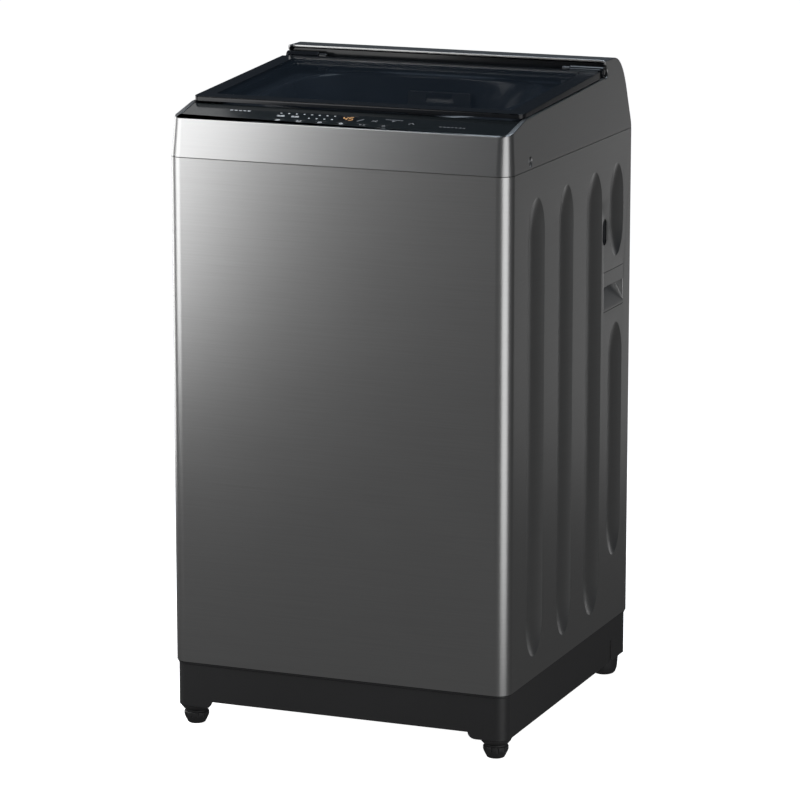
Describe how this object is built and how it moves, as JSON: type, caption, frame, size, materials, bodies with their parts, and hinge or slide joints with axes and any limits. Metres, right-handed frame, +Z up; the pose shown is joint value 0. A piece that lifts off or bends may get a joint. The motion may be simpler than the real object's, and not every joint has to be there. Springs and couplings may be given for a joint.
{
  "type": "top load washing machine",
  "caption": "Free-standing top load washing machine with a hinged smoked glass lid, push keys, a detergent drawer, a sprung tub, a spinning basket and a belt-driven pulsator.",
  "frame": {"origin": "on the floor, in the middle of the machine's footprint", "axes": "+Z up, -Y towards the front panel, +X towards the machine's right-hand side as seen from the front"},
  "size_m": [0.54, 0.54, 0.985],
  "materials": {
    "titanium_paint": "fine brushed-look metallic paint",
    "titanium_plastic": "metallic sprayed plastic",
    "black_gloss": "gloss",
    "black_plastic": "fine moulded texture",
    "plinth_plastic": "fine moulded texture",
    "smoked_glass": "tinted, polished",
    "tub_plastic": "moulded",
    "stainless": "fine brushed",
    "zinc_steel": "zinc plated",
    "spring_steel": "oiled",
    "cast_aluminium": "as cast",
    "belt_rubber": "matte",
    "foot_rubber": "matte",
    "board_green": "solder resist",
    "white_plastic": "moulded",
    "display_smoke": "smoked window"
  },
  "bodies": {
    "cabinet": {"cabinet": "titanium_paint", "back_panel": "zinc_steel", "service_cover": "black_plastic", "cord_gland": "black_plastic", "base_frame": "plinth_plastic", "rear_foot_left": "foot_rubber", "rear_foot_right": "foot_rubber", "top_frame": "titanium_plastic", "inner_deck": "black_plastic", "handle_cup_left": "titanium_plastic", "handle_cup_right": "titanium_plastic", "side_plug_left": "black_plastic", "side_plug_right": "black_plastic", "top_screw_left": "zinc_steel", "top_screw_right": "zinc_steel", "hinge_pin_left": "zinc_steel", "hinge_pin_right": "zinc_steel", "control_panel": "black_gloss", "display_window": "display_smoke", "circuit_board": "board_green", "drawer_housing": "white_plastic", "water_inlet_valve": "white_plastic", "drain_outlet": "black_plastic", "suspension_rod_front_left": "zinc_steel", "suspension_rod_front_right": "zinc_steel", "suspension_rod_rear_left": "zinc_steel", "suspension_rod_rear_right": "zinc_steel"},
    "lid": {"lid_frame": "black_gloss", "lid_glass": "smoked_glass"},
    "drawer": {"detergent_drawer": "white_plastic"},
    "left_foot": {"leveling_foot_left": "foot_rubber"},
    "right_foot": {"leveling_foot_right": "foot_rubber"},
    "tub": {"outer_tub": "tub_plastic", "tub_cover": "tub_plastic", "support_bracket": "zinc_steel", "clutch_housing": "cast_aluminium", "motor": "zinc_steel", "drive_belt": "belt_rubber", "drain_valve": "black_plastic", "drain_hose": "belt_rubber", "suspension_spring_front_left": "spring_steel", "suspension_spring_front_right": "spring_steel", "suspension_spring_rear_left": "spring_steel", "suspension_spring_rear_right": "spring_steel"},
    "basket": {"basket": "stainless", "basket_base": "tub_plastic", "balance_ring": "black_plastic", "basket_shaft": "zinc_steel", "lint_filter": "white_plastic"},
    "pulsator": {"pulsator": "tub_plastic", "pulsator_cap": "stainless", "pulsator_shaft": "zinc_steel", "drive_pulley": "cast_aluminium"},
    "motor_rotor": {"motor_pulley": "zinc_steel"},
    "key_program": {"key_program": "black_gloss"},
    "key_water_level": {"key_water_level": "black_gloss"},
    "key_wash": {"key_wash": "black_gloss"},
    "key_spin": {"key_spin": "black_gloss"},
    "key_start_pause": {"key_start_pause": "black_gloss"},
    "key_power": {"key_power": "black_gloss"}
  },
  "joints": [
    {"name": "lid_hinge", "type": "hinge", "parent": "cabinet", "child": "lid", "pos_m": [0, 0.161, 0.9685], "axis": [-1, 0, 0], "range_deg": [0, 95]},
    {"name": "drawer_slide", "type": "slide", "parent": "cabinet", "child": "drawer", "axis": [0, -1, 0], "range_m": [0, 0.075]},
    {"name": "key_program_press", "type": "slide", "parent": "cabinet", "child": "key_program", "axis": [0, 0.2169, -0.9762], "range_m": [0, 0.0012], "stiffness_N_per_m": 600, "springref_m": -0.0005},
    {"name": "key_water_level_press", "type": "slide", "parent": "cabinet", "child": "key_water_level", "axis": [0, 0.2169, -0.9762], "range_m": [0, 0.0012], "stiffness_N_per_m": 600, "springref_m": -0.0005},
    {"name": "key_wash_press", "type": "slide", "parent": "cabinet", "child": "key_wash", "axis": [0, 0.2169, -0.9762], "range_m": [0, 0.0012], "stiffness_N_per_m": 600, "springref_m": -0.0005},
    {"name": "key_spin_press", "type": "slide", "parent": "cabinet", "child": "key_spin", "axis": [0, 0.2169, -0.9762], "range_m": [0, 0.0012], "stiffness_N_per_m": 600, "springref_m": -0.0005},
    {"name": "key_start_pause_press", "type": "slide", "parent": "cabinet", "child": "key_start_pause", "axis": [0, 0.2169, -0.9762], "range_m": [0, 0.0012], "stiffness_N_per_m": 600, "springref_m": -0.0005},
    {"name": "key_power_press", "type": "slide", "parent": "cabinet", "child": "key_power", "axis": [0, 0.2169, -0.9762], "range_m": [0, 0.0012], "stiffness_N_per_m": 600, "springref_m": -0.0005},
    {"name": "left_foot_level", "type": "slide", "parent": "cabinet", "child": "left_foot", "axis": [0, 0, -1], "range_m": [0, 0.012]},
    {"name": "right_foot_level", "type": "slide", "parent": "cabinet", "child": "right_foot", "axis": [0, 0, -1], "range_m": [0, 0.012]},
    {"name": "tub_suspension", "type": "slide", "parent": "cabinet", "child": "tub", "axis": [0, 0, 1], "range_m": [-0.025, 0.012], "stiffness_N_per_m": 6000, "springref_m": 0.03908, "deforming": ["suspension_spring_front_left", "suspension_spring_front_right", "suspension_spring_rear_left", "suspension_spring_rear_right", "drain_hose"]},
    {"name": "basket_spin", "type": "hinge", "parent": "tub", "child": "basket", "pos_m": [0, 0, 0.26], "axis": [0, 0, 1], "continuous": true},
    {"name": "pulsator_spin", "type": "hinge", "parent": "tub", "child": "pulsator", "pos_m": [0, 0, 0.27], "axis": [0, 0, 1], "continuous": true},
    {"name": "motor_spin", "type": "hinge", "parent": "tub", "child": "motor_rotor", "pos_m": [0, -0.15, 0.106], "axis": [0, 0, 1], "continuous": true}
  ],
  "couplings": [
    {"joint": "motor_spin", "follows": "pulsator_spin", "ratio": 4}
  ]
}
